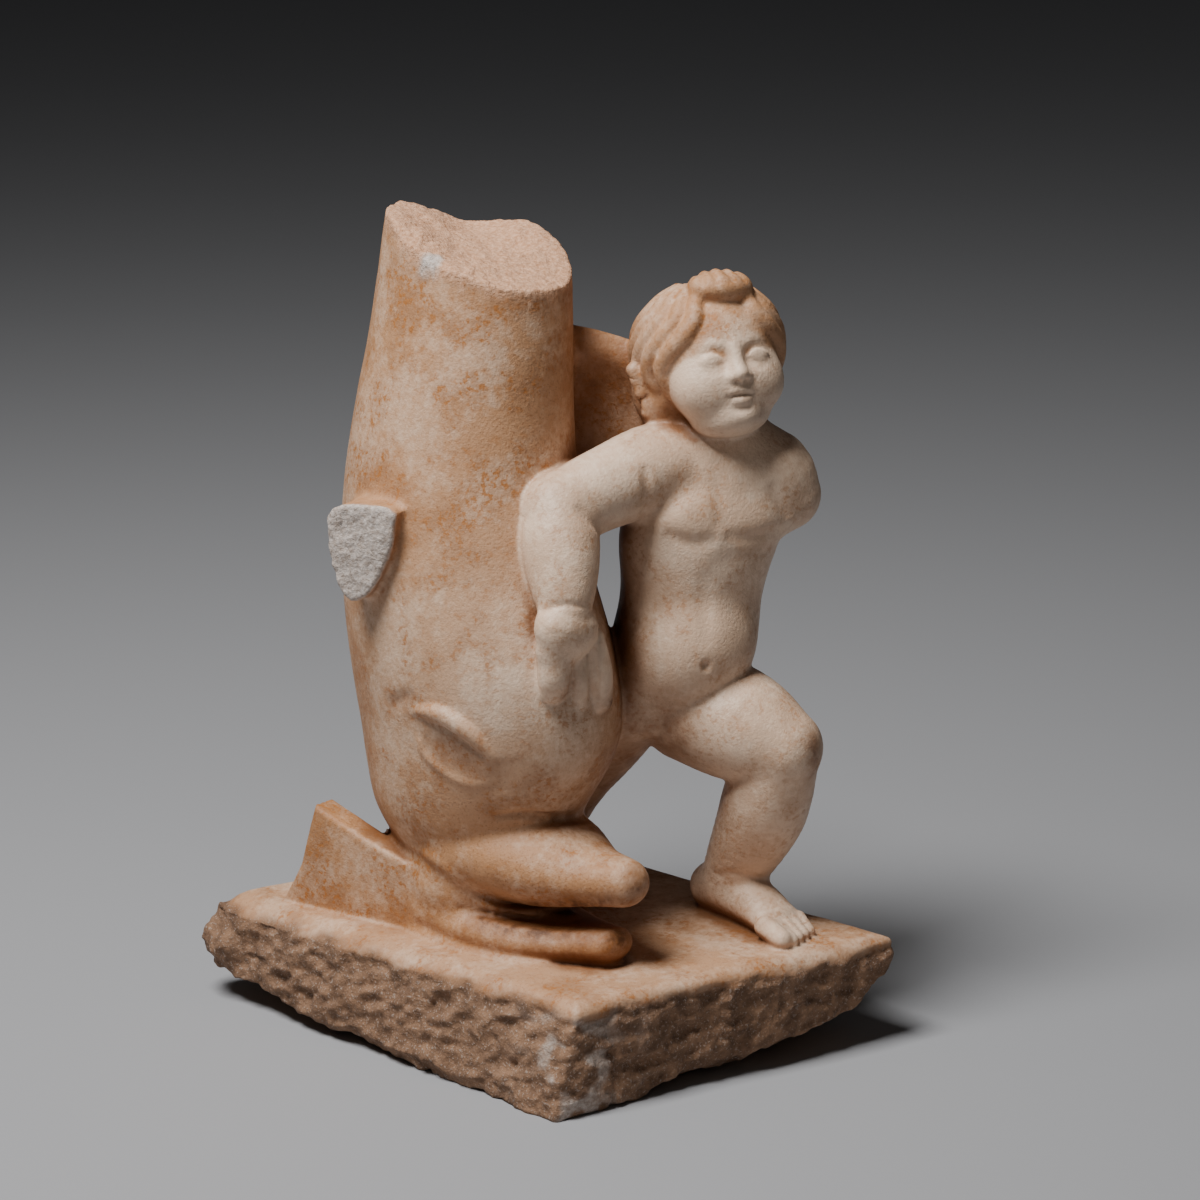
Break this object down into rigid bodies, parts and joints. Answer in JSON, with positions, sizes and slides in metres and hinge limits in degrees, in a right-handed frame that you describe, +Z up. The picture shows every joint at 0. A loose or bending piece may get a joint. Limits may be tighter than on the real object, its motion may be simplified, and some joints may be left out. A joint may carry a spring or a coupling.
{
  "type": "marble putto and dolphin group",
  "caption": "Weathered marble group carved in one with its plinth: a winged child in a lunge leans an arm on the forehead of a diving dolphin whose tail is broken off.",
  "frame": {"origin": "a point near the middle of the flat underside that the plinth stands on", "axes": "+Z up; -Y is the front, where the child's left foot and the dolphin's beak point; -X is the dolphin's side"},
  "size_m": [0.2566, 0.3096, 0.4601],
  "materials": {
    "marble": "worn, patinated"
  },
  "bodies": {
    "root": {"putto_with_dolphin": "marble"}
  },
  "joints": []
}
